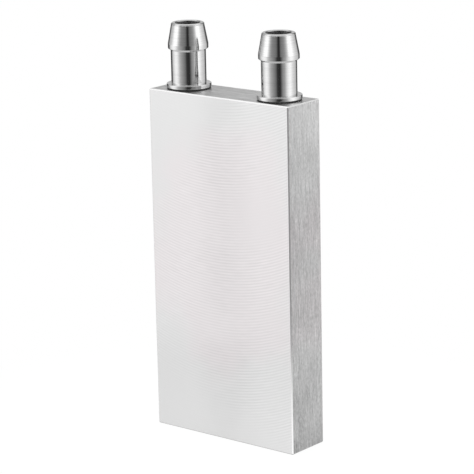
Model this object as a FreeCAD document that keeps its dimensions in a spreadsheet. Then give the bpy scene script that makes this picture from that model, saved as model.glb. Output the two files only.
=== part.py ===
"""Liquid cooling cold plate: an extruded aluminium block with two ribbed flow galleries, closed by a
plug at each end, and two barbed hose nozzles screwed into the upper plug over flat seals.

The frame has +Z up and its origin at the middle of the block's base. The machined cooling face looks
along -Y, and the galleries lie side by side along X. Lengths are in millimetres.
"""

import FreeCAD, Part
import math
import os

import Sketcher
from FreeCAD import Vector

# Driving dimensions: lengths in millimetres, angles in degrees, and counts
SIZES = {
    # Extruded block
    "block_width": 40.0,
    "block_depth": 11.5,
    "block_height": 80.0,
    "edge_break": 0.25,
    "side_wall": 3.0,
    "gallery_depth": 7.0,
    "web_thickness": 3.0,
    "gallery_corner": 0.8,
    # Ribs along both broad walls of each gallery
    "rib_count": 6,
    "rib_height": 1.2,
    "rib_root_width": 1.1,
    "rib_tip_width": 0.8,
    # Ends of the galleries
    "plug_thickness": 6.0,
    "plug_ledge": 0.5,
    "plug_corner": 1.6,
    "plug_lead": 0.3,
    "braze_gap": 0.02,
    "header_height": 4.0,
    "return_height": 9.0,
    # Tapped ports in the upper plug
    "port_inset": 3.95,
    "port_setback": 0.25,
    "thread_radius": 3.0,
    "thread_clearance": 0.05,
    "port_mouth": 0.3,
    "port_mouth_angle": 90.0,
    # Flat seal under each nozzle
    "seal_inset": 0.15,
    "seal_thickness": 0.3,
    "seal_clearance": 0.15,
    # Flange, stem and barb of each nozzle
    "flange_overhang": 1.1,
    "flange_thickness": 0.85,
    "flange_chamfer": 0.12,
    "stem_radius": 4.0,
    "stem_length": 7.65,
    "barb_rise": 0.6,
    "barb_shoulder": 0.4,
    "barb_land": 1.0,
    "cone_length": 4.4,
    "mouth_wall": 0.93,
    "mouth_length": 0.4,
    "mouth_chamfer": 0.3,
    # Bore and threaded tail of each nozzle
    "bore_radius": 2.85,
    "bore_chamfer": 0.25,
    "tail_end_gap": 1.5,
    "tail_bore_radius": 2.0,
    "drill_angle": 59.0,
    "relief_depth": 0.4,
    "relief_length": 0.8,
}

document = FreeCAD.newDocument("cold_plate")
sheet = document.addObject("Spreadsheet::Sheet", "sizes")
for row, (alias, value) in enumerate(SIZES.items(), start=1):
    sheet.set(f"A{row}", alias)
    sheet.set(f"B{row}", str(value))
    sheet.setAlias(f"B{row}", alias)
document.recompute()


def size(alias):
    """The name by which an expression reads a cell of the sheet."""
    return f"sizes.{alias}"


def number(expression):
    """The present value of an expression on the sheet."""
    return float(sheet.evalExpression(expression))


# Lengths that several pieces share, each worked out from the sheet
HALF_WIDTH = f"{size('block_width')} / 2"
HALF_DEPTH = f"{size('block_depth')} / 2"
CAVITY_HALF_WIDTH = f"({HALF_WIDTH} - {size('side_wall')})"
CAVITY_HALF_DEPTH = f"({size('gallery_depth')} / 2)"
HALF_WEB = f"{size('web_thickness')} / 2"
SEAT_HALF_WIDTH = f"({CAVITY_HALF_WIDTH} + {size('plug_ledge')})"
SEAT_HALF_DEPTH = f"({CAVITY_HALF_DEPTH} + {size('plug_ledge')})"
PLUG_HALF_WIDTH = f"({SEAT_HALF_WIDTH} - {size('braze_gap')})"
PLUG_HALF_DEPTH = f"({SEAT_HALF_DEPTH} - {size('braze_gap')})"
PLUG_TOP = size("plug_thickness")
HALF_PORTS = f"({CAVITY_HALF_WIDTH} - {size('port_inset')})"
PORT_RADIUS = f"({size('thread_radius')} + {size('thread_clearance')})"
FLANGE_RADIUS = f"({size('stem_radius')} + {size('flange_overhang')})"


def origin_plane(body, role):
    """One of the body's own three origin planes."""
    return next(plane for plane in body.Origin.OriginFeatures if plane.Role == role)


def new_body(name):
    """An empty body whose label names its file."""
    body = document.addObject("PartDesign::Body", name)
    body.Label = name
    return body


def new_sketch(body, name, role, height=None):
    """A sketch on one of the body's origin planes, or at a height above it."""
    sketch = body.newObject("Sketcher::SketchObject", name)
    sketch.AttachmentSupport = [(origin_plane(body, role), "")]
    sketch.MapMode = "FlatFace"
    if height:
        sketch.setExpression("AttachmentOffset.Base.z", height)
    return sketch


def bind(sketch, kind, *target, expression):
    """Adds a dimension whose value follows an expression on the sheet."""
    index = sketch.addConstraint(Sketcher.Constraint(kind, *target, number(expression)))
    sketch.setExpression(f"Constraints[{index}]", expression)


def draw_outline(sketch, corners):
    """Straight edges through corners, each placed by a pair of expressions from the origin."""
    points = [Vector(number(across), number(up), 0) for across, up in corners]
    lines = [
        sketch.addGeometry(Part.LineSegment(start, points[(index + 1) % len(points)]))
        for index, start in enumerate(points)
    ]
    for line, (across, up) in zip(lines, corners):
        following = lines[(line - lines[0] + 1) % len(lines)]
        sketch.addConstraint(Sketcher.Constraint("Coincident", line, 2, following, 1))
        bind(sketch, "DistanceX", -1, 1, line, 1, expression=across)
        bind(sketch, "DistanceY", -1, 1, line, 1, expression=up)


def draw_rounded_rectangle(sketch, left, right, half_depth, radius):
    """A rectangle with round corners, as deep above the sketch's X axis as below it."""
    west, east = number(left), number(right)
    north, bend = number(half_depth), number(radius)
    south = -north
    edges = [
        (Vector(west + bend, south), Vector(east - bend, south)),
        (Vector(east, south + bend), Vector(east, north - bend)),
        (Vector(east - bend, north), Vector(west + bend, north)),
        (Vector(west, north - bend), Vector(west, south + bend)),
    ]
    bends = [
        (Vector(east - bend, south + bend), 270),
        (Vector(east - bend, north - bend), 0),
        (Vector(west + bend, north - bend), 90),
        (Vector(west + bend, south + bend), 180),
    ]
    lines = [sketch.addGeometry(Part.LineSegment(*edge)) for edge in edges]
    arcs = []
    for centre, start in bends:
        circle = Part.Circle(centre, Vector(0, 0, 1), bend)
        quarter = Part.ArcOfCircle(circle, math.radians(start), math.radians(start + 90))
        arcs.append(sketch.addGeometry(quarter))
    for index, line in enumerate(lines):
        following = lines[(index + 1) % len(lines)]
        sketch.addConstraint(Sketcher.Constraint("Tangent", line, 2, arcs[index], 1))
        sketch.addConstraint(Sketcher.Constraint("Tangent", arcs[index], 2, following, 1))
    sketch.addConstraint(Sketcher.Constraint("Horizontal", lines[0]))
    sketch.addConstraint(Sketcher.Constraint("Vertical", lines[1]))
    for arc in arcs[1:]:
        sketch.addConstraint(Sketcher.Constraint("Equal", arcs[0], arc))
    bind(sketch, "Radius", arcs[0], expression=radius)
    bind(sketch, "DistanceX", -1, 1, lines[1], 1, expression=right)
    bind(sketch, "DistanceX", -1, 1, lines[3], 1, expression=left)
    bind(sketch, "DistanceY", -1, 1, lines[2], 1, expression=half_depth)
    bind(sketch, "DistanceY", -1, 1, lines[0], 1, expression=f"-({half_depth})")


def add_pad(body, name, sketch, length):
    """Material along the sketch's normal."""
    pad = body.newObject("PartDesign::Pad", name)
    pad.Profile = sketch
    pad.setExpression("Length", length)
    document.recompute()
    return pad


def add_pocket(body, name, sketch, length, upward):
    """A pocket of a set depth, along the sketch's normal when upward, and checked to cut."""
    before = body.Tip.Shape.Volume
    pocket = body.newObject("PartDesign::Pocket", name)
    pocket.Profile = sketch
    pocket.setExpression("Length", length)
    pocket.Reversed = upward
    document.recompute()
    if not pocket.Shape.Volume < before:
        raise RuntimeError(f"{name} cuts nothing")
    return pocket


def add_turned(body, name, kind, sketch):
    """A full turn of a sketch about the upright axis, as a Revolution or a Groove."""
    turned = body.newObject(f"PartDesign::{kind}", name)
    turned.Profile = sketch
    turned.ReferenceAxis = (sketch, ["V_Axis"])
    turned.Angle = 360
    document.recompute()
    return turned


def add_chamfer(body, name, base, edges, width):
    """An even chamfer along the named edges of the feature before it."""
    chamfer = body.newObject("PartDesign::Chamfer", name)
    chamfer.Base = (base, edges)
    chamfer.setExpression("Size", width)
    document.recompute()
    return chamfer


# How closely an edge's radius or height has to match when it is looked up
MATCH = 1e-4


def circle_edges(feature, radius, height):
    """The names of the round edges with this radius at this height."""
    return [
        f"Edge{index}"
        for index, edge in enumerate(feature.Shape.Edges, start=1)
        if isinstance(edge.Curve, Part.Circle)
        and abs(edge.Curve.Radius - radius) < MATCH
        and abs(edge.Curve.Center.z - height) < MATCH
    ]


def level_edges(feature, height):
    """The names of the edges that lie wholly at this height."""
    return [
        f"Edge{index}"
        for index, edge in enumerate(feature.Shape.Edges, start=1)
        if all(abs(vertex.Point.z - height) < MATCH for vertex in edge.Vertexes)
    ]


# Channel block: extruded with its galleries and ribs, then milled from both ends for the plugs
def make_channel_block():
    body = new_body("channel_block")

    outline = new_sketch(body, "block_outline", "XY_Plane")
    draw_outline(
        outline,
        [
            (f"-({HALF_WIDTH})", f"-({HALF_DEPTH})"),
            (HALF_WIDTH, f"-({HALF_DEPTH})"),
            (HALF_WIDTH, HALF_DEPTH),
            (f"-({HALF_WIDTH})", HALF_DEPTH),
        ],
    )
    bar = add_pad(body, "block_bar", outline, size("block_height"))
    bar_edges = [f"Edge{index}" for index in range(1, len(bar.Shape.Edges) + 1)]
    add_chamfer(body, "block_edges", bar, bar_edges, size("edge_break"))

    gallery_sketch = new_sketch(body, "gallery_outline", "XY_Plane")
    draw_rounded_rectangle(
        gallery_sketch, HALF_WEB, CAVITY_HALF_WIDTH, CAVITY_HALF_DEPTH, size("gallery_corner")
    )
    gallery = add_pocket(body, "gallery", gallery_sketch, size("block_height"), upward=True)
    both = body.newObject("PartDesign::Mirrored", "both_galleries")
    both.Originals = [gallery]
    both.MirrorPlane = (origin_plane(body, "YZ_Plane"), [""])
    body.Tip = both
    document.recompute()

    pitch = f"(({CAVITY_HALF_WIDTH} - {HALF_WEB}) / {size('rib_count')})"
    first_rib = f"({HALF_WEB} + {pitch} / 2)"
    rib_tip = f"({CAVITY_HALF_DEPTH} - {size('rib_height')})"
    rib_sketch = new_sketch(body, "rib_section", "XY_Plane")
    draw_outline(
        rib_sketch,
        [
            (f"{first_rib} - {size('rib_root_width')} / 2", CAVITY_HALF_DEPTH),
            (f"{first_rib} - {size('rib_tip_width')} / 2", rib_tip),
            (f"{first_rib} + {size('rib_tip_width')} / 2", rib_tip),
            (f"{first_rib} + {size('rib_root_width')} / 2", CAVITY_HALF_DEPTH),
        ],
    )
    rib = add_pad(body, "rib", rib_sketch, size("block_height"))
    rows = body.newObject("PartDesign::MultiTransform", "rib_rows")
    rows.Originals = [rib]
    along = body.newObject("PartDesign::LinearPattern", "ribs_along_wall")
    along.Direction = (rib_sketch, ["H_Axis"])
    along.setExpression("Length", f"{pitch} * ({size('rib_count')} - 1)")
    along.setExpression("Occurrences", size("rib_count"))
    facing = body.newObject("PartDesign::Mirrored", "ribs_on_facing_wall")
    facing.MirrorPlane = (origin_plane(body, "XZ_Plane"), [""])
    beside = body.newObject("PartDesign::Mirrored", "ribs_in_other_gallery")
    beside.MirrorPlane = (origin_plane(body, "YZ_Plane"), [""])
    rows.Transformations = [along, facing, beside]
    body.Tip = rows
    document.recompute()

    return_sketch = new_sketch(body, "return_outline", "XY_Plane")
    draw_rounded_rectangle(
        return_sketch,
        f"-{CAVITY_HALF_WIDTH}",
        CAVITY_HALF_WIDTH,
        CAVITY_HALF_DEPTH,
        size("gallery_corner"),
    )
    return_depth = f"{size('plug_thickness')} + {size('return_height')}"
    add_pocket(body, "return_passage", return_sketch, return_depth, upward=True)

    header_sketch = new_sketch(body, "header_outline", "XY_Plane", size("block_height"))
    draw_rounded_rectangle(
        header_sketch, HALF_WEB, CAVITY_HALF_WIDTH, CAVITY_HALF_DEPTH, size("gallery_corner")
    )
    header_depth = f"{size('plug_thickness')} + {size('header_height')}"
    header = add_pocket(body, "header", header_sketch, header_depth, upward=False)
    headers = body.newObject("PartDesign::Mirrored", "both_headers")
    headers.Originals = [header]
    headers.MirrorPlane = (origin_plane(body, "YZ_Plane"), [""])
    body.Tip = headers
    document.recompute()

    for name, height, upward in (("lower", None, True), ("upper", size("block_height"), False)):
        seat_sketch = new_sketch(body, f"{name}_seat_outline", "XY_Plane", height)
        draw_rounded_rectangle(
            seat_sketch,
            f"-{SEAT_HALF_WIDTH}",
            SEAT_HALF_WIDTH,
            SEAT_HALF_DEPTH,
            size("plug_corner"),
        )
        add_pocket(body, f"{name}_plug_seat", seat_sketch, size("plug_thickness"), upward)
    return body


def make_plug(name, inner_height):
    """A closing plug, with a lead-in chamfer round the end that enters the block first."""
    body = new_body(name)
    outline = new_sketch(body, f"{name}_outline", "XY_Plane")
    draw_rounded_rectangle(
        outline,
        f"-{PLUG_HALF_WIDTH}",
        PLUG_HALF_WIDTH,
        PLUG_HALF_DEPTH,
        f"{size('plug_corner')} - {size('braze_gap')}",
    )
    slab = add_pad(body, f"{name}_slab", outline, size("plug_thickness"))
    lead_edges = level_edges(slab, inner_height)
    add_chamfer(body, f"{name}_lead", slab, lead_edges, size("plug_lead"))
    return body


# Port plug: closes the upper end and carries the two tapped ports
def make_port_plug():
    body = make_plug("port_plug", inner_height=0)
    centres = new_sketch(body, "port_centres", "XY_Plane", PLUG_TOP)
    for side in ("-", ""):
        across = f"{side}{HALF_PORTS}"
        centre = Vector(number(across), number(size("port_setback")), 0)
        port = centres.addGeometry(Part.Circle(centre, Vector(0, 0, 1), number(PORT_RADIUS)))
        bind(centres, "Radius", port, expression=PORT_RADIUS)
        bind(centres, "DistanceX", -1, 1, port, 3, expression=across)
        bind(centres, "DistanceY", -1, 1, port, 3, expression=size("port_setback"))
    document.recompute()
    solid_volume = body.Tip.Shape.Volume
    ports = body.newObject("PartDesign::Hole", "ports")
    ports.Profile = centres
    ports.Threaded = False
    ports.DepthType = "ThroughAll"
    ports.setExpression("Diameter", f"2 * {PORT_RADIUS}")
    ports.HoleCutType = "Countersink"
    ports.setExpression("HoleCutDiameter", f"2 * ({PORT_RADIUS} + {size('port_mouth')})")
    ports.setExpression("HoleCutCountersinkAngle", size("port_mouth_angle"))
    document.recompute()
    if not ports.Shape.Volume < solid_volume:
        raise RuntimeError("the ports cut nothing")
    body.setExpression("Placement.Base.z", f"{size('block_height')} - {size('plug_thickness')}")
    return body


# Return plug: closes the lower end, below the passage that joins the galleries
def make_return_plug():
    return make_plug("return_plug", inner_height=number(PLUG_TOP))


def place_at_port(body, side, lift):
    """Sets a body's foot over one of the ports, at a height above the block."""
    body.setExpression("Placement.Base.x", f"{side}{HALF_PORTS}")
    body.setExpression("Placement.Base.y", size("port_setback"))
    body.setExpression("Placement.Base.z", lift)


# Flat seals: rubber washers squeezed between the block and the flanges
def make_seal(name, side):
    body = new_body(name)
    ring = new_sketch(body, f"{name}_ring", "XY_Plane")
    inner_radius = f"{size('thread_radius')} + {size('seal_clearance')}"
    outer_radius = f"{FLANGE_RADIUS} - {size('seal_inset')}"
    for radius in (outer_radius, inner_radius):
        circle = ring.addGeometry(Part.Circle(Vector(0, 0, 0), Vector(0, 0, 1), number(radius)))
        ring.addConstraint(Sketcher.Constraint("Coincident", circle, 3, -1, 1))
        bind(ring, "Radius", circle, expression=radius)
    add_pad(body, f"{name}_washer", ring, size("seal_thickness"))
    place_at_port(body, side, size("block_height"))
    return body


# Nozzles: turned from bar, with a flange and a barb above the seal and a threaded tail below it
def make_nozzle(name, side):
    body = new_body(name)

    tail_reach = f"{size('seal_thickness')} + {size('plug_thickness')} - {size('tail_end_gap')}"
    tail_end = f"(-({tail_reach}))"
    relief_end = f"(-{size('relief_length')})"
    stem_top = f"({size('flange_thickness')} + {size('stem_length')})"
    land_foot = f"({stem_top} + {size('barb_shoulder')})"
    land_top = f"({land_foot} + {size('barb_land')})"
    cone_top = f"({land_top} + {size('cone_length')})"
    mouth_top = f"({cone_top} + {size('mouth_length')})"
    tail_point = f"({size('thread_radius')} - {size('edge_break')})"
    relief = f"({size('thread_radius')} - {size('relief_depth')})"
    barb = f"({size('stem_radius')} + {size('barb_rise')})"
    mouth = f"({size('bore_radius')} + {size('mouth_wall')})"
    section = new_sketch(body, f"{name}_section", "XZ_Plane")
    draw_outline(
        section,
        [
            ("0", tail_end),
            (tail_point, tail_end),
            (size("thread_radius"), f"{tail_end} + {size('edge_break')}"),
            (size("thread_radius"), relief_end),
            (relief, relief_end),
            (relief, "0"),
            (FLANGE_RADIUS, "0"),
            (FLANGE_RADIUS, size("flange_thickness")),
            (size("stem_radius"), size("flange_thickness")),
            (size("stem_radius"), stem_top),
            (barb, land_foot),
            (barb, land_top),
            (mouth, cone_top),
            (mouth, mouth_top),
            ("0", mouth_top),
        ],
    )
    turned = add_turned(body, f"{name}_turning", "Revolution", section)
    rim = circle_edges(turned, number(FLANGE_RADIUS), number(size("flange_thickness")))
    flanged = add_chamfer(body, f"{name}_flange_rim", turned, rim, size("flange_chamfer"))
    lip = circle_edges(flanged, number(mouth), number(mouth_top))
    add_chamfer(body, f"{name}_lip", flanged, lip, size("mouth_chamfer"))

    bore = new_sketch(body, f"{name}_bore_section", "XZ_Plane")
    step = f"({size('bore_radius')} - {size('tail_bore_radius')})"
    bore_mouth = f"({size('bore_radius')} + {size('bore_chamfer')})"
    draw_outline(
        bore,
        [
            ("0", tail_end),
            (size("tail_bore_radius"), tail_end),
            (size("tail_bore_radius"), "0"),
            (size("bore_radius"), f"{step} / tan({size('drill_angle')} * 1 deg)"),
            (size("bore_radius"), f"{mouth_top} - {size('bore_chamfer')}"),
            (bore_mouth, mouth_top),
            ("0", mouth_top),
        ],
    )
    solid_volume = body.Tip.Shape.Volume
    bored = add_turned(body, f"{name}_bore", "Groove", bore)
    if not bored.Shape.Volume < solid_volume:
        raise RuntimeError(f"the bore of {name} cuts nothing")

    place_at_port(body, side, f"{size('block_height')} + {size('seal_thickness')}")
    return body


bodies = [
    make_channel_block(),
    make_port_plug(),
    make_return_plug(),
    make_seal("inlet_seal", "-"),
    make_seal("outlet_seal", ""),
    make_nozzle("inlet_nozzle", "-"),
    make_nozzle("outlet_nozzle", ""),
]
document.recompute()

for item in document.Objects:
    if "Invalid" in item.State or "Error" in item.State:
        raise RuntimeError(f"{item.Label} failed: {item.State}")

for body in bodies:
    if body.Shape.isNull() or not body.Shape.isValid():
        raise RuntimeError(f"{body.Label} has no valid solid")

os.makedirs("parts", exist_ok=True)
for body in bodies:
    body.Shape.exportStep(f"parts/{body.Label}.step")
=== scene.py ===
import math

import bpy
from mathutils import Matrix, Vector


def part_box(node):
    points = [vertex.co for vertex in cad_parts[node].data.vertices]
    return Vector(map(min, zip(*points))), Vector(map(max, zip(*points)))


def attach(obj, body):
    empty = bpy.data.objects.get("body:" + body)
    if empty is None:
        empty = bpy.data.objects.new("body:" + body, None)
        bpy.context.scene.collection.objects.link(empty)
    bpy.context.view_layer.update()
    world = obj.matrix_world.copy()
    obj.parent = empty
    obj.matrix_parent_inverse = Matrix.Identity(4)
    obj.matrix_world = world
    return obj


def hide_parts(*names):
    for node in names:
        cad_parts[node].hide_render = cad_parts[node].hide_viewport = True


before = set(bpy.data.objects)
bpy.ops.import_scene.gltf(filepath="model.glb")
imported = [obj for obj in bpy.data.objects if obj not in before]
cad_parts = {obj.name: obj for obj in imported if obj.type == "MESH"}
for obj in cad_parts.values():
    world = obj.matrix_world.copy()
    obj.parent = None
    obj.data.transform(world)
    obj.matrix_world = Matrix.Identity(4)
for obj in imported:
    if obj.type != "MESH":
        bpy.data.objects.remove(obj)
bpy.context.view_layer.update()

# Camera
# The plate is seen from its right, a little above its top, through a long lens, as a product is shot
# to keep its edges nearly parallel. The camera leans slightly, so the plate's foot swings to the right.
MM = 0.001
view_azimuth = math.radians(39.24)
view_elevation = math.radians(14.21)
view_roll = math.radians(-1.175)
aim_point = Vector((0, 0, 40 * MM))
lens_offset = Vector((0.102, 6.548, 552.5)) * MM
frame_pixels = 474
focal_pixels = 2419.2
nearest_seen = 10 * MM

view_back = Vector(
    (
        math.sin(view_azimuth) * math.cos(view_elevation),
        -math.cos(view_azimuth) * math.cos(view_elevation),
        math.sin(view_elevation),
    )
)
level_right = Vector((math.cos(view_azimuth), math.sin(view_azimuth), 0))
level_up = view_back.cross(level_right)
view_right = level_right * math.cos(view_roll) + level_up * math.sin(view_roll)
view_up = level_up * math.cos(view_roll) - level_right * math.sin(view_roll)
view_turn = Matrix((view_right, view_up, view_back)).transposed()


def add_to_scene(name, data):
    """An object in the scene, at the origin."""
    added = bpy.data.objects.new(name, data)
    bpy.context.scene.collection.objects.link(added)
    return added


camera_data = bpy.data.cameras.new("camera")
camera_data.lens = camera_data.sensor_width * focal_pixels / frame_pixels
camera_data.clip_start = nearest_seen
camera = add_to_scene("camera", camera_data)
camera.matrix_world = Matrix.Translation(aim_point + view_turn @ lens_offset) @ view_turn.to_4x4()
bpy.context.scene.camera = camera
bpy.context.scene.view_settings.view_transform = "Standard"


# Turntable and light tent
# The plate stands on a small white turntable in a round tent of lit cloth. The cloth is bright on both
# sides and falls off to dark bands behind the plate and at the camera's slot, which narrows upwards.
# This is what gives the turned nozzles their upright stripes. Plain white shows beyond it all.
white = (1, 1, 1, 1)
turntable_radius = 85 * MM
turntable_cloth = (0.8, 0.8, 0.8, 1)
turntable_glow = 1.09
turntable_glow_share = 0.85
turntable_fade = (0.45 * turntable_radius, 0.95 * turntable_radius)
tent_radius = 1.1
tent_foot = -0.5
tent_top = 1.0
ring_sides = 96
lower_cloth_strength = 1.34
upper_cloth_gain = 0.36
cloth_gain_heights = (-0.2, 0.15)
slot_narrowing_heights = (-0.08, 0.12)


class Field:
    """An output of a node. Arithmetic on it adds Math nodes to the recipe that it belongs to."""

    def __init__(self, recipe, socket):
        self.recipe = recipe
        self.socket = socket

    def __add__(self, other):
        return self.recipe.math("ADD", self, other)

    __radd__ = __add__

    def __sub__(self, other):
        return self.recipe.math("SUBTRACT", self, other)

    def __rsub__(self, other):
        return self.recipe.math("SUBTRACT", other, self)

    def __mul__(self, other):
        return self.recipe.math("MULTIPLY", self, other)

    __rmul__ = __mul__

    def __truediv__(self, other):
        return self.recipe.math("DIVIDE", self, other)

    def __rtruediv__(self, other):
        return self.recipe.math("DIVIDE", other, self)

    def __mod__(self, other):
        return self.recipe.math("FLOORED_MODULO", self, other)

    def __gt__(self, other):
        return self.recipe.math("GREATER_THAN", self, other)

    def __lt__(self, other):
        return self.recipe.math("LESS_THAN", self, other)


class Recipe:
    """A node tree, of a material or of a shape, to which nodes are added by their type."""

    def __init__(self, tree):
        self.tree = tree

    def add(self, kind, settings=None, inputs=None, output=0):
        """One node, with its settings and then the values or links of its sockets."""
        node = self.tree.nodes.new(kind)
        for name, value in (settings or {}).items():
            if name == "stops":
                self.set_stops(node.color_ramp.elements, value)
            else:
                setattr(node, name, value)
        for name, value in (inputs or {}).items():
            if isinstance(value, Field):
                self.tree.links.new(value.socket, node.inputs[name])
            else:
                node.inputs[name].default_value = value
        return Field(self, node.outputs[output]) if len(node.outputs) else node

    def math(self, operation, *terms):
        return self.add("ShaderNodeMath", {"operation": operation}, dict(enumerate(terms)))

    @staticmethod
    def set_stops(elements, stops):
        while len(elements) < len(stops):
            elements.new(1.0)
        for element, (place, grey) in zip(elements, stops):
            element.position = place
            element.color = (grey, grey, grey, 1.0)

    def outputs(self, kind, settings, inputs, *names):
        """One node, as several of its outputs."""
        first = self.add(kind, settings, inputs)
        return [Field(self, first.socket.node.outputs[name]) for name in names]

    def axes(self, vector):
        """The three parts of a vector."""
        return self.outputs("ShaderNodeSeparateXYZ", None, {0: vector}, "X", "Y", "Z")

    def vector(self, across, along, up):
        return self.add("ShaderNodeCombineXYZ", None, {"X": across, "Y": along, "Z": up})

    def grey(self, level):
        return self.vector(level, level, level)

    def place(self):
        """The place on the object, in metres."""
        return self.add("ShaderNodeTexCoord", None, None, "Object")

    def distance(self, one, other):
        """The straight distance over two offsets at right angles."""
        return self.math("SQRT", one * one + other * other)

    def between(self, value, low, high):
        """Rises smoothly from 0 at low to 1 at high."""
        inputs = {"Value": value, "From Min": low, "From Max": high}
        return self.add("ShaderNodeMapRange", {"interpolation_type": "SMOOTHSTEP"}, inputs)

    def noise(self, vector, scale, detail=2.0, roughness=0.5):
        inputs = {"Vector": vector, "Scale": scale, "Detail": detail, "Roughness": roughness}
        return self.add("ShaderNodeTexNoise", {"noise_dimensions": "3D"}, inputs)

    def grain(self, axes, counts, sway, detail=3.0, roughness=0.5):
        """Noise with so many marks to a metre along each axis, swayed by other noise."""
        stretched = [axis * count + shift for axis, count, shift in zip(axes, counts, sway)]
        return self.noise(self.vector(*stretched), 1.0, detail, roughness)

    def mix(self, share, one, other, blend_type="MIX"):
        """A colour made of two."""
        settings = {"data_type": "RGBA", "blend_type": blend_type}
        return self.add("ShaderNodeMix", settings, {0: share, 6: one, 7: other}, 2)


def new_material(name):
    """An empty material and the recipe of its nodes."""
    material = bpy.data.materials.new(name)
    material.use_nodes = True
    material.node_tree.nodes.clear()
    return material, Recipe(material.node_tree)


def new_piece(name, vertices, edges, faces):
    """A piece of plain mesh, which holds its place."""
    mesh = bpy.data.meshes.new(name)
    mesh.from_pydata(vertices, edges, faces)
    return add_to_scene(name, mesh)


def ring(radius, height):
    """Points round the upright axis."""
    turns = [2 * math.pi * index / ring_sides for index in range(ring_sides)]
    return [(radius * math.cos(turn), radius * math.sin(turn), height) for turn in turns]


world = bpy.data.worlds.new("white_surround")
world.use_nodes = True
world.node_tree.nodes.clear()
surround = Recipe(world.node_tree)
white_light = surround.add("ShaderNodeBackground", None, {"Color": white, "Strength": 1.0})
surround.add("ShaderNodeOutputWorld", None, {"Surface": white_light})
bpy.context.scene.world = world

turntable = new_piece("turntable", ring(turntable_radius, 0), [], [list(range(ring_sides))])
floor_material, floor = new_material("white_turntable")
camera_ray, glossy_ray, clear_ray = floor.outputs(
    "ShaderNodeLightPath", None, None, "Is Camera Ray", "Is Glossy Ray", "Is Transmission Ray"
)
seen = floor.math("MAXIMUM", floor.math("MAXIMUM", camera_ray, glossy_ray), clear_ray)
floor_across, floor_along, _ = floor.axes(floor.place())
open_white = floor.between(floor.distance(floor_across, floor_along), *turntable_fade)
cloth = floor.add("ShaderNodeBsdfDiffuse", None, {"Color": turntable_cloth})
plain_white = floor.add("ShaderNodeEmission", None, {"Color": white, "Strength": 1.0})
lit_white = floor.add("ShaderNodeEmission", None, {"Color": white, "Strength": turntable_glow})
half_lit = floor.add("ShaderNodeMixShader", None, {0: turntable_glow_share, 1: cloth, 2: lit_white})
faded = floor.add("ShaderNodeMixShader", None, {0: open_white * seen, 1: half_lit, 2: plain_white})
floor.add("ShaderNodeOutputMaterial", None, {"Surface": faded})
turntable.data.materials.append(floor_material)

tent_walls = [
    (side, (side + 1) % ring_sides, ring_sides + (side + 1) % ring_sides, ring_sides + side)
    for side in range(ring_sides)
]
tent = new_piece(
    "light_tent", ring(tent_radius, tent_foot) + ring(tent_radius, tent_top), [], tent_walls
)
tent_material, glow = new_material("lit_tent_cloth")
tent_across, tent_along, tent_height = glow.axes(glow.place())
heading = glow.math("ARCTAN2", tent_along, tent_across)
# Turns from the camera's slot, counted towards the camera's right, as a share of a full turn
camera_heading = math.atan2(view_back.y, view_back.x)
round_share = ((heading - camera_heading) / (2 * math.pi)) % 1.0
lower_brightness = [
    (0.0, 0.02),
    (0.019, 0.03),
    (0.04, 0.12),
    (0.058, 0.23),
    (0.078, 0.3),
    (0.098, 0.36),
    (0.12, 0.56),
    (0.14, 0.73),
    (0.165, 0.9),
    (0.19, 1.0),
    (0.21, 1.0),
    (0.235, 0.88),
    (0.262, 0.74),
    (0.295, 0.64),
    (0.33, 0.57),
    (0.363, 0.46),
    (0.385, 0.1),
    (0.43, 0.04),
    (0.46, 0.1),
    (0.54, 0.1),
    (0.57, 0.04),
    (0.625, 0.06),
    (0.645, 0.42),
    (0.68, 0.68),
    (0.74, 0.95),
    (0.766, 0.94),
    (0.793, 0.82),
    (0.816, 0.62),
    (0.839, 0.45),
    (0.87, 0.34),
    (0.94, 0.15),
    (0.97, 0.03),
]
upper_brightness = [
    (0.0, 0.01),
    (0.012, 0.035),
    (0.025, 0.12),
    (0.062, 0.18),
    (0.081, 0.21),
    (0.099, 0.28),
    (0.1175, 0.38),
    (0.137, 0.56),
    (0.157, 0.86),
    (0.198, 0.95),
    (0.22, 0.88),
    (0.244, 0.74),
    (0.27, 0.62),
    (0.298, 0.53),
    (0.345, 0.45),
    (0.38, 0.08),
    (0.43, 0.04),
    (0.46, 0.36),
    (0.54, 0.36),
    (0.57, 0.04),
    (0.61, 0.15),
    (0.64, 0.4),
    (0.67, 0.43),
    (0.702, 0.54),
    (0.73, 0.76),
    (0.756, 0.9),
    (0.8, 0.92),
    (0.823, 0.66),
    (0.85, 0.35),
    (0.8825, 0.21),
    (0.956, 0.13),
    (0.985, 0.02),
]
lower_tone = glow.add("ShaderNodeValToRGB", {"stops": lower_brightness}, {"Fac": round_share})
upper_tone = glow.add("ShaderNodeValToRGB", {"stops": upper_brightness}, {"Fac": round_share})
upper_half = glow.between(tent_height, *slot_narrowing_heights)
cloth_tone = glow.mix(upper_half, lower_tone, upper_tone)
cloth_gain = glow.between(tent_height, *cloth_gain_heights)
cloth_strength = lower_cloth_strength + cloth_gain * upper_cloth_gain
tent_light = glow.add("ShaderNodeEmission", None, {"Color": cloth_tone, "Strength": cloth_strength})
glow.add("ShaderNodeOutputMaterial", None, {"Surface": tent_light})
tent.data.materials.append(tent_material)
tent.visible_camera = False


# Channel block and its two plugs
# The block is an aluminium extrusion with brushed narrow sides. Its broad faces are fly-cut, which
# leaves fine arcs, and its ends are ground flush with the plugs that are brazed into them. The three
# keep their construction shapes and share one finish, which tells the faces apart by their normals.
alloy_colour = (0.742, 0.742, 0.742, 1)
warm_alloy_colour = (0.764, 0.735, 0.743, 1)
alloy_roughness = 0.30
side_roughening = 0.10
end_roughening = 0.08
face_on = 0.9
edge_leaning = 0.3
cutter_radius = 51.3 * MM
cutter_middle = -2.0 * MM
cutter_feed = 0.6815 * MM
strokes_to_arc = 2.3
arc_depth = 0.0006 * MM
grain_depth = 0.005 * MM

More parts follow.
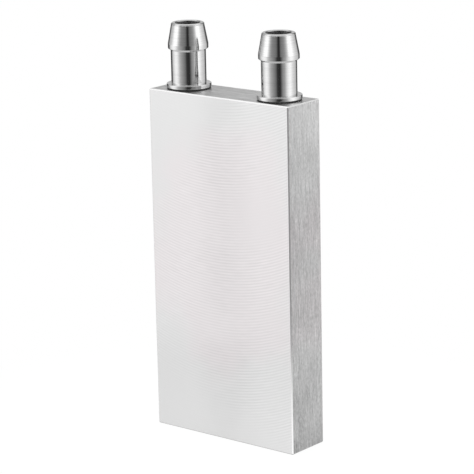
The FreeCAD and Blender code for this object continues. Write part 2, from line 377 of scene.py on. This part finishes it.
# The arcs are weakest at the first distance of each pair, and full at the second
calm_spot = Vector((11, 0, 54)) * MM
calm_spot_fade = (3 * MM, 12 * MM)
upper_left_fade = (79 * MM, 70 * MM)
upper_left_slant = 1.2
foot_fade = (4 * MM, 14 * MM)
foot_slant = 0.35
lower_left_fade = (0, 24 * MM)
lower_left_slant = 1.5
lower_left_bite = 0.5
weakest_arcs = 0.12
patch_edges = (0.35, 0.65)
thin_patch_strength = 0.70
thick_patch_gain = 0.5

# Marks to a metre. A grain has a number each for across, along and up, and sways with other marks
stroke_end_count = 253
patch_count = 55
cloud_count = 110
wave_count = 220
warp_count = 600
warm_cast_count = 60
streak_counts = (900, 2300, 150)
streak_sway = 3.0
grit_counts = (900, 2600, 1100)
grit_sway = 2.0
end_grain_counts = (130, 1000, 900)
end_grain_sway = 0.8

# The darker band up the middle of the broad faces is a painted reflection shade
middle_band_centre = 1 * MM
middle_band_width = 12 * MM
middle_band_patch_edges = (0.25, 0.6)
# Heights of the painted shade and light at the foot and the painted light at the head
foot_shade_height = 26 * MM
head_shine_heights = (50 * MM, 82 * MM)
warm_cast_height = 45 * MM
warm_cast_flattening = 1.3
warm_cast_fade = (32 * MM, 20 * MM)
warm_cast_raggedness = 30 * MM

# Brighter or duller than the plain alloy, as a share of it, or as a share to a metre for a slope. The
# arc, grain and cloud contrasts are marks of the metal; the slopes and the face, foot, head and edge
# terms are painted light and shade, the side level partly also its duller brushed finish
arc_contrast = 0.09
crest_weight = 0.5
stroke_weight = 1.6
side_grain_contrast = 1.35
side_cloud_contrast = 0.20
end_grain_contrast = 1.6
end_cloud_contrast = 0.25
broad_painted_light_slope = 1.5
broad_painted_shade = 0.057
middle_band_painted_shade = 0.07
broad_foot_painted_light = 0.04
side_painted_light_slope = 6.0
side_finish_and_painted_shade = 0.345
side_foot_painted_shade = 0.115
side_head_painted_light = 0.12
end_painted_shade = 0.15
edge_painted_highlight = 0.38
low_edge_painted_shade = 0.78


def finish_surface(recipe, relief, inputs):
    """The surface of a material, with its relief in metres."""
    bump = recipe.add("ShaderNodeBump", None, {"Strength": 1.0, "Distance": 1.0, "Height": relief})
    surface = recipe.add("ShaderNodeBsdfPrincipled", None, {**inputs, "Normal": bump})
    recipe.add("ShaderNodeOutputMaterial", None, {"Surface": surface})


def machined_aluminium():
    material, metal = new_material("machined_aluminium")
    place = metal.place()
    axes = metal.axes(place)
    across, along, up = axes
    facing = metal.add("ShaderNodeTexCoord", None, None, "Normal")
    facing_x, facing_y, facing_z = metal.axes(facing)
    on_broad = metal.math("ABSOLUTE", facing_y) > face_on
    on_side = metal.math("ABSOLUTE", facing_x) > face_on
    on_end = metal.math("ABSOLUTE", facing_z) > face_on
    on_edge = 1.0 - on_broad - on_side - on_end

    # Fly-cut arcs: every turn of the cutter leaves one, a feed further up
    off_middle = across - cutter_middle
    sagitta = metal.math("SQRT", cutter_radius**2 - off_middle * off_middle)
    arc_count = (up + sagitta) / cutter_feed
    crest = metal.math("SINE", arc_count * (2 * math.pi))
    stroke_place = metal.vector(arc_count * strokes_to_arc, across * stroke_end_count, 0.0)
    stroke = metal.noise(stroke_place, 1.0, 2.0, 0.6)
    patches = metal.noise(metal.vector(across, 0.0, up), patch_count)

    # The cutter bites unevenly: the arcs fade at the upper left, towards the foot and in a calm spot
    from_calm_spot = metal.distance(across - calm_spot.x, up - calm_spot.z)
    bite_upper_left = metal.between(up - across * upper_left_slant, *upper_left_fade)
    bite_foot = metal.between(up + across * foot_slant, *foot_fade)
    off_lower_left = metal.between(up + across * lower_left_slant, *lower_left_fade)
    bite_lower_left = off_lower_left * (1 - lower_left_bite) + lower_left_bite
    bite_calm_spot = metal.between(from_calm_spot, *calm_spot_fade)
    bite = bite_upper_left * bite_foot * bite_lower_left * bite_calm_spot
    patch_strength = metal.between(patches, *patch_edges) * thick_patch_gain + thin_patch_strength
    strength = patch_strength * (bite * (1 - weakest_arcs) + weakest_arcs)
    arcs = (crest * crest_weight + (stroke - 0.5) * stroke_weight) * strength

    # A long soft darker band up the middle of the broad faces, painted in as the shade of a reflection
    off_smear = metal.math("ABSOLUTE", across - middle_band_centre)
    smear_and_painted_band = metal.between(off_smear, middle_band_width, 0.0) * metal.between(patches, *middle_band_patch_edges)

    # Upright wavy grain of the narrow sides, and straighter grain along the ground ends
    warp = metal.noise(place, warp_count)
    wave = metal.noise(place, wave_count)
    streaks = metal.grain(axes, streak_counts, (0, wave * streak_sway, warp), 3.0, 0.65)
    grit = metal.grain(axes, grit_counts, (0, warp * grit_sway, 0), 3.0, 0.7)
    side_grain = (streaks + grit) / 2
    end_grain = metal.grain(axes, end_grain_counts, (0, wave * end_grain_sway, 0), 6.0, 0.8)
    clouds = metal.noise(place, cloud_count, 3.0)
    side_marks = (side_grain - 0.5) * side_grain_contrast + (clouds - 0.5) * side_cloud_contrast
    end_marks = (end_grain - 0.5) * end_grain_contrast + (clouds - 0.5) * end_cloud_contrast

    # The edges are broken by hand and get a painted highlight; those at the foot and two of the upright
    # ones get painted shade instead
    foot_edge = facing_z < -edge_leaning
    upright_edge = facing_x * facing_y > edge_leaning
    shaded_edge = metal.math("MAXIMUM", foot_edge, upright_edge)

    # Height fades for the painted light and shade at the foot and the painted light at the head
    foot_shade = metal.between(up, foot_shade_height, 0.0)
    head_shine = metal.between(up, *head_shine_heights)
    # Broad faces: painted light towards +x and at the foot, painted shade overall and in the middle
    # band
    broad_tone = across * broad_painted_light_slope + arcs * arc_contrast - smear_and_painted_band * middle_band_painted_shade
    broad_tone = broad_tone + foot_shade * broad_foot_painted_light - broad_painted_shade
    # Narrow sides: painted light along their width and at the head, painted shade at the foot; their
    # overall darkening is partly the duller brushed finish and partly painted shade
    side_tone = side_marks + along * side_painted_light_slope - side_finish_and_painted_shade
    side_tone = side_tone + head_shine * side_head_painted_light - foot_shade * side_foot_painted_shade
    # Ground ends: darkened overall as painted shade
    end_tone = end_marks - end_painted_shade
    # Edges: painted highlight, or painted shade at the foot and on two upright edges
    edge_tone = edge_painted_highlight - shaded_edge * low_edge_painted_shade
    tone = 1.0 + on_broad * broad_tone + on_side * side_tone + on_end * end_tone + on_edge * edge_tone

    # A faint warm cast lies over the middle of the plate
    off_cast = up - warm_cast_height
    from_cast = metal.math("SQRT", across * across * warm_cast_flattening + off_cast * off_cast)
    warm_spread = from_cast + (metal.noise(place, warm_cast_count) - 0.5) * warm_cast_raggedness
    warmth = metal.between(warm_spread, *warm_cast_fade)
    alloy = metal.mix(warmth, alloy_colour, warm_alloy_colour)

    roughening = on_side * side_grain * side_roughening + on_end * end_grain * end_roughening
    finish_surface(
        metal,
        on_broad * arcs * arc_depth + (on_side * side_grain + on_end * end_grain) * grain_depth,
        {
            "Base Color": metal.mix(1.0, alloy, metal.grey(tone), "MULTIPLY"),
            "Metallic": 1.0,
            "Roughness": alloy_roughness + roughening,
        },
    )
    return material


block_material = machined_aluminium()
for node_name in ("channel_block", "port_plug", "return_plug"):
    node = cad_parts[node_name]
    node.data.materials.clear()
    node.data.materials.append(block_material)


# Seals
# Each seal is a flat ring punched from black rubber. It is squeezed between the ground end of the block
# and a nozzle's flange, so only its rim shows. The same tree of nodes turns the seals and the nozzles.
seal_rim_rounding = 0.09 * MM
seal_inner_radius = 3.15 * MM
turned_segments = 120
corner_steps = 4
corner_hold = 0.05 * MM
merging_distance = 0.001 * MM
rubber_grey = 0.016
bloom_grey = 0.022
rubber_roughness = 0.55
bloom_roughening = 0.25
bloom_count = 900
speckle_count = 6000
speckle_depth = 0.008 * MM


def soften(corners):
    """The points of a closed turned outline, whose corners (radius, height, rounding) become arcs held
    by a point on either side."""
    points = []
    for index, (radius, height, rounding) in enumerate(corners):
        corner = Vector((radius, height))
        before = Vector(corners[index - 1][:2]) - corner
        after = Vector(corners[(index + 1) % len(corners)][:2]) - corner
        half_angle = before.angle(after) / 2
        reach = rounding / math.tan(half_angle)
        middle = corner + (before.normalized() + after.normalized()).normalized() * (
            rounding / math.sin(half_angle)
        )
        entry = corner + before.normalized() * reach
        leave = corner + after.normalized() * reach
        points.append(entry + before.normalized() * corner_hold)
        for step in range(corner_steps + 1):
            chord = entry.lerp(leave, step / corner_steps) - middle
            points.append(middle + chord.normalized() * rounding)
        points.append(leave + after.normalized() * corner_hold)
    return points


def turning_tree():
    """Geometry nodes that turn an outline about an upright axis."""
    tree = bpy.data.node_groups.new("turned_piece", "GeometryNodeTree")
    for name, kind in (
        ("Outline", "NodeSocketGeometry"),
        ("Segments", "NodeSocketInt"),
        ("Place", "NodeSocketVector"),
        ("Finish", "NodeSocketMaterial"),
    ):
        tree.interface.new_socket(name, in_out="INPUT", socket_type=kind)
    tree.interface.new_socket("Piece", in_out="OUTPUT", socket_type="NodeSocketGeometry")
    shape = Recipe(tree)
    outline, segments, place, finish = shape.outputs(
        "NodeGroupInput", None, None, "Outline", "Segments", "Place", "Finish"
    )
    rows = shape.add("GeometryNodeAttributeDomainSize", {"component": "MESH"}, {"Geometry": outline})
    grid = shape.add(
        "GeometryNodeMeshGrid",
        None,
        {"Size X": 1.0, "Size Y": 1.0, "Vertices X": segments + 1, "Vertices Y": rows},
    )
    index = shape.add("GeometryNodeInputIndex")
    row = index % rows
    angle = shape.math("FLOOR", index / rows) / segments * (2 * math.pi)
    spot = shape.add(
        "GeometryNodeSampleIndex",
        {"data_type": "FLOAT_VECTOR", "domain": "POINT"},
        {"Geometry": outline, "Value": shape.add("GeometryNodeInputPosition"), "Index": row},
    )
    radius, _, height = shape.axes(spot)
    turned = shape.vector(
        radius * shape.math("COSINE", angle), radius * shape.math("SINE", angle), height
    )
    placed = shape.add("ShaderNodeVectorMath", {"operation": "ADD"}, {0: turned, 1: place})
    skin = shape.add("GeometryNodeSetPosition", None, {"Geometry": grid, "Position": placed})
    closed = shape.add(
        "GeometryNodeMergeByDistance", None, {"Geometry": skin, "Distance": merging_distance}
    )
    smooth = shape.add("GeometryNodeSetShadeSmooth", None, {"Geometry": closed})
    whole = shape.add("GeometryNodeRealizeInstances", None, {"Geometry": smooth})
    finished = shape.add("GeometryNodeSetMaterial", None, {"Geometry": whole, "Material": finish})
    shape.add("NodeGroupOutput", None, {"Piece": finished})
    return tree


turning = turning_tree()


def turn_piece(name, corners, place, finish):
    """A piece turned from an outline, as a plain mesh, with the axis of its foot at a place."""
    points = soften(corners)
    edges = [(index, (index + 1) % len(points)) for index in range(len(points))]
    points.append(points[0])
    blank = new_piece(f"{name}_outline", [(point.x, 0, point.y) for point in points], edges, [])
    modifier = blank.modifiers.new("turning", "NODES")
    modifier.node_group = turning
    values = {"Segments": turned_segments, "Place": place, "Finish": finish}
    for item in turning.interface.items_tree:
        if item.name in values:
            modifier[item.identifier] = values[item.name]
    depsgraph = bpy.context.evaluated_depsgraph_get()
    mesh = bpy.data.meshes.new_from_object(blank.evaluated_get(depsgraph))
    bpy.data.objects.remove(blank)
    mesh.name = name
    return add_to_scene(name, mesh)


def seal_rubber():
    material, rubber = new_material("seal_rubber")
    place = rubber.place()
    bloom = rubber.noise(place, bloom_count, 3.0)
    speckle = rubber.noise(place, speckle_count)
    finish_surface(
        rubber,
        speckle * speckle_depth,
        {
            "Base Color": rubber.grey(rubber_grey + bloom * bloom_grey),
            "Roughness": rubber_roughness + bloom * bloom_roughening,
        },
    )
    return material


seal_material = seal_rubber()
for side in ("inlet", "outlet"):
    low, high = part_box(f"{side}_seal")
    seal_radius = (high.x - low.x) / 2
    seal_thickness = high.z - low.z
    seal = turn_piece(
        f"{side}_seal_ring",
        [
            (seal_inner_radius, 0, seal_rim_rounding),
            (seal_radius, 0, seal_rim_rounding),
            (seal_radius, seal_thickness, seal_rim_rounding),
            (seal_inner_radius, seal_thickness, seal_rim_rounding),
        ],
        ((low.x + high.x) / 2, (low.y + high.y) / 2, low.z),
        seal_material,
    )
    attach(seal, "root")
    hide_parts(f"{side}_seal")


# Nozzles
# Each nozzle is turned from round bar and plated bright. A thin flange sits on the seal, a stem rises
# from it to a single barb, whose cone leads into the hose, and a threaded tail below holds it in the
# port plug. The bore is reamed wide down to the flange, inside which it narrows to the tail's.
stem_radius = 4.0 * MM
barb_radius = 4.6 * MM
mouth_radius = 3.78 * MM
bore_radius = 2.85 * MM
tail_bore_radius = 2.0 * MM
tail_radius = 3.0 * MM
tail_relief_radius = 2.6 * MM
flange_radius = 5.1 * MM
flange_top = 0.85 * MM
flange_rim_rounding = 0.13 * MM
mouth_rim_rounding = 0.30 * MM
bore_rim_rounding = 0.22 * MM
stem_top = 8.5 * MM
land_foot = 8.9 * MM
land_top = 9.9 * MM
cone_top = 14.3 * MM
mouth_top = 14.7 * MM
bore_foot = 0.51 * MM
tail_foot = -4.8 * MM
relief_foot = -0.8 * MM
broken_edge = 0.05 * MM
polished_edge = 0.10 * MM
inlet_low, inlet_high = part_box("inlet_nozzle")
outlet_low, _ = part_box("outlet_nozzle")
nozzle_spacing = outlet_low.x - inlet_low.x
nozzle_setback = (inlet_low.y + inlet_high.y) / 2
plated_grey = 0.66
smear_contrast = 0.06
turning_line_contrast = 0.22
bore_painted_shade = 0.22
plated_roughness = 0.05
smear_roughening = 0.06
bore_roughening = 0.24
plating_smear_count = 260
turning_line_counts = (40, 40, 4200)
turning_line_depth = 0.0004 * MM


def bright_plating():
    material, metal = new_material("bright_plating")
    place = metal.place()
    axes = metal.axes(place)
    across, along, _ = axes
    turning_lines = metal.grain(axes, turning_line_counts, (0, 0, 0))
    smear_and_painted_band = metal.noise(place, plating_smear_count, 3.0)

    # The reamed bore is rougher than the turned outside, and its colour is darkened as painted shade
    # inside the hole
    off_axis = metal.math("ABSOLUTE", across) - nozzle_spacing / 2
    inside = metal.distance(off_axis, along - nozzle_setback) < bore_radius + broken_edge

    marks = (smear_and_painted_band - 0.5) * smear_contrast + (turning_lines - 0.5) * turning_line_contrast
    finish_surface(
        metal,
        turning_lines * turning_line_depth,
        {
            "Base Color": metal.grey(plated_grey + marks - inside * bore_painted_shade),
            "Metallic": 1.0,
            "Roughness": plated_roughness + smear_and_painted_band * smear_roughening + inside * bore_roughening,
        },
    )
    return material


plating = bright_plating()
nozzle_outline = [
    (tail_bore_radius, tail_foot, broken_edge),
    (tail_radius, tail_foot, polished_edge),
    (tail_radius, relief_foot, broken_edge),
    (tail_relief_radius, relief_foot, broken_edge),
    (tail_relief_radius, 0, broken_edge),
    (flange_radius, 0, broken_edge),
    (flange_radius, flange_top, flange_rim_rounding),
    (stem_radius, flange_top, broken_edge),
    (stem_radius, stem_top, polished_edge),
    (barb_radius, land_foot, polished_edge),
    (barb_radius, land_top, polished_edge),
    (mouth_radius, cone_top, broken_edge),
    (mouth_radius, mouth_top, mouth_rim_rounding),
    (bore_radius, mouth_top, bore_rim_rounding),
    (bore_radius, bore_foot, broken_edge),
    (tail_bore_radius, 0, broken_edge),
]
for side in ("inlet", "outlet"):
    low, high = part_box(f"{side}_nozzle")
    nozzle = turn_piece(
        f"{side}_barb_fitting",
        nozzle_outline,
        ((low.x + high.x) / 2, (low.y + high.y) / 2, high.z - mouth_top),
        plating,
    )
    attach(nozzle, "root")
    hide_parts(f"{side}_nozzle")
